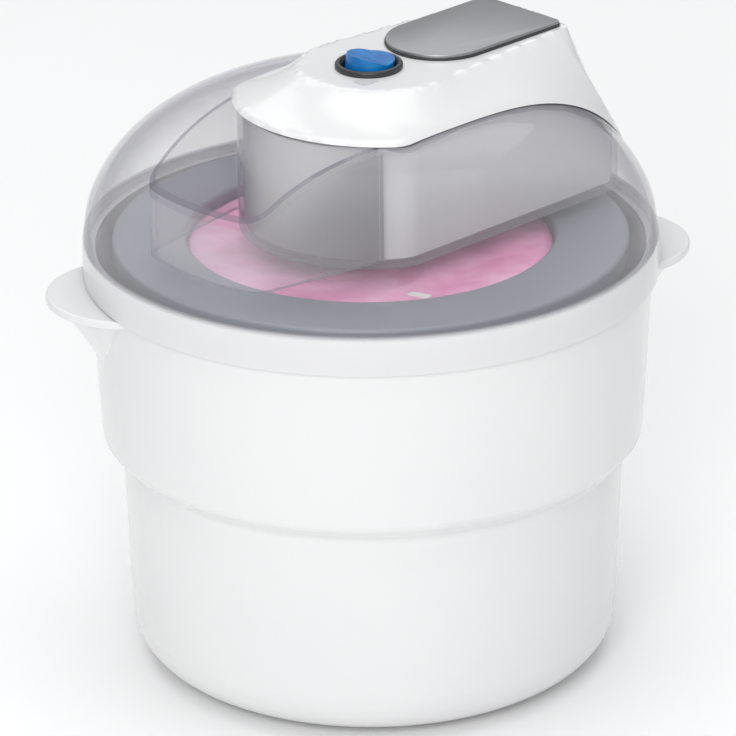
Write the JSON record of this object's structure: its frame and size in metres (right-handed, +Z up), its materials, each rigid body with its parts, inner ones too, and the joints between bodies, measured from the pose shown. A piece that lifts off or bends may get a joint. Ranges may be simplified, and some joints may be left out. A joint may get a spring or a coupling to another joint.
{
  "type": "ice cream maker",
  "caption": "Table ice cream maker: stepped outer container, double-walled freezer bowl, clear domed lid with filler chute, stirrer, and a geared motor unit sunk in the lid.",
  "frame": {"origin": "middle of the base, on the surface it stands on", "axes": "+Z up along the stirrer's axis, +X along the two handle tabs, -Y towards the index mark on the front of the lid's skirt"},
  "size_m": [0.225, 0.197, 0.2189],
  "materials": {
    "white_gloss": "gloss, injection moulded",
    "clear_plastic": "clear, slightly smoky, gloss",
    "ring_grey": "satin grey",
    "pot_aluminium": "satin",
    "black_plastic": "satin black",
    "blue_rocker": "translucent, gloss",
    "brushed_plate": "brushed along its length",
    "seal_rubber": "matte",
    "steel": "zinc plated",
    "copper": "enamelled copper wire",
    "gel": "freezing gel",
    "gear_plastic": "natural acetal",
    "ferrite": "matte",
    "stirrer_plastic": "satin white",
    "terminal_brass": "bright"
  },
  "bodies": {
    "container": {"outer_container": "white_gloss"},
    "bowl": {"bowl_outer_shell": "white_gloss", "fill_plug": "white_gloss", "bowl_inner_pot": "pot_aluminium", "bowl_gasket": "seal_rubber", "bowl_top_ring": "ring_grey", "coolant_gel": "gel"},
    "lid": {"lid_dome": "clear_plastic", "motor_well": "clear_plastic", "chute_wall": "clear_plastic", "shaft_bush": "gear_plastic"},
    "stirrer": {"drive_shaft": "steel", "paddle": "stirrer_plastic"},
    "motor_unit": {"top_cover": "white_gloss", "lower_housing": "white_gloss", "housing_screws": "steel", "cord_bush": "seal_rubber", "plate_underlay": "black_plastic", "decor_plate": "brushed_plate", "switch_body": "black_plastic", "switch_terminals": "terminal_brass", "idler_axle": "steel", "gear_base": "gear_plastic", "gear_spacers": "terminal_brass", "motor_plate": "steel", "gearbox_screws": "steel", "motor_can": "steel", "motor_bush": "terminal_brass", "motor_screws": "steel", "coil_bobbin": "gear_plastic", "motor_coil": "copper", "pole_claws": "steel", "terminal_block": "gear_plastic"},
    "rocker": {"switch_rocker": "blue_rocker"},
    "output_wheel": {"output_gear": "gear_plastic"},
    "idler": {"idler_gear": "gear_plastic"},
    "rotor": {"rotor_magnet": "ferrite", "rotor_shaft": "steel", "rotor_pinion": "gear_plastic"}
  },
  "joints": [
    {"name": "bowl_lift", "type": "slide", "parent": "container", "child": "bowl", "axis": [0, 0, 1], "range_m": [0, 0.16]},
    {"name": "lid_lift", "type": "slide", "parent": "bowl", "child": "lid", "axis": [0, 0, 1], "range_m": [0, 0.13]},
    {"name": "unit_lift", "type": "slide", "parent": "lid", "child": "motor_unit", "axis": [0, 0, 1], "range_m": [0, 0.06]},
    {"name": "rotor_spin", "type": "hinge", "parent": "motor_unit", "child": "rotor", "pos_m": [0.03741, 0.0216, 0.185], "axis": [0, 0, 1], "continuous": true},
    {"name": "idler_spin", "type": "hinge", "parent": "motor_unit", "child": "idler", "pos_m": [0.01871, 0.0108, 0.168], "axis": [0, 0, 1], "continuous": true},
    {"name": "output_spin", "type": "hinge", "parent": "motor_unit", "child": "output_wheel", "pos_m": [0, 0, 0.165], "axis": [0, 0, 1], "continuous": true},
    {"name": "stirrer_spin", "type": "hinge", "parent": "lid", "child": "stirrer", "pos_m": [0, 0, 0.16], "axis": [0, 0, 1], "continuous": true},
    {"name": "switch_rock", "type": "hinge", "parent": "motor_unit", "child": "rocker", "pos_m": [0, 0, 0.2115], "axis": [0.5, -0.866, 0], "range_deg": [0, 18]}
  ],
  "couplings": [
    {"joint": "rotor_spin", "follows": "stirrer_spin", "ratio": 12.25},
    {"joint": "idler_spin", "follows": "stirrer_spin", "ratio": -3.5},
    {"joint": "output_spin", "follows": "stirrer_spin", "ratio": 1}
  ]
}
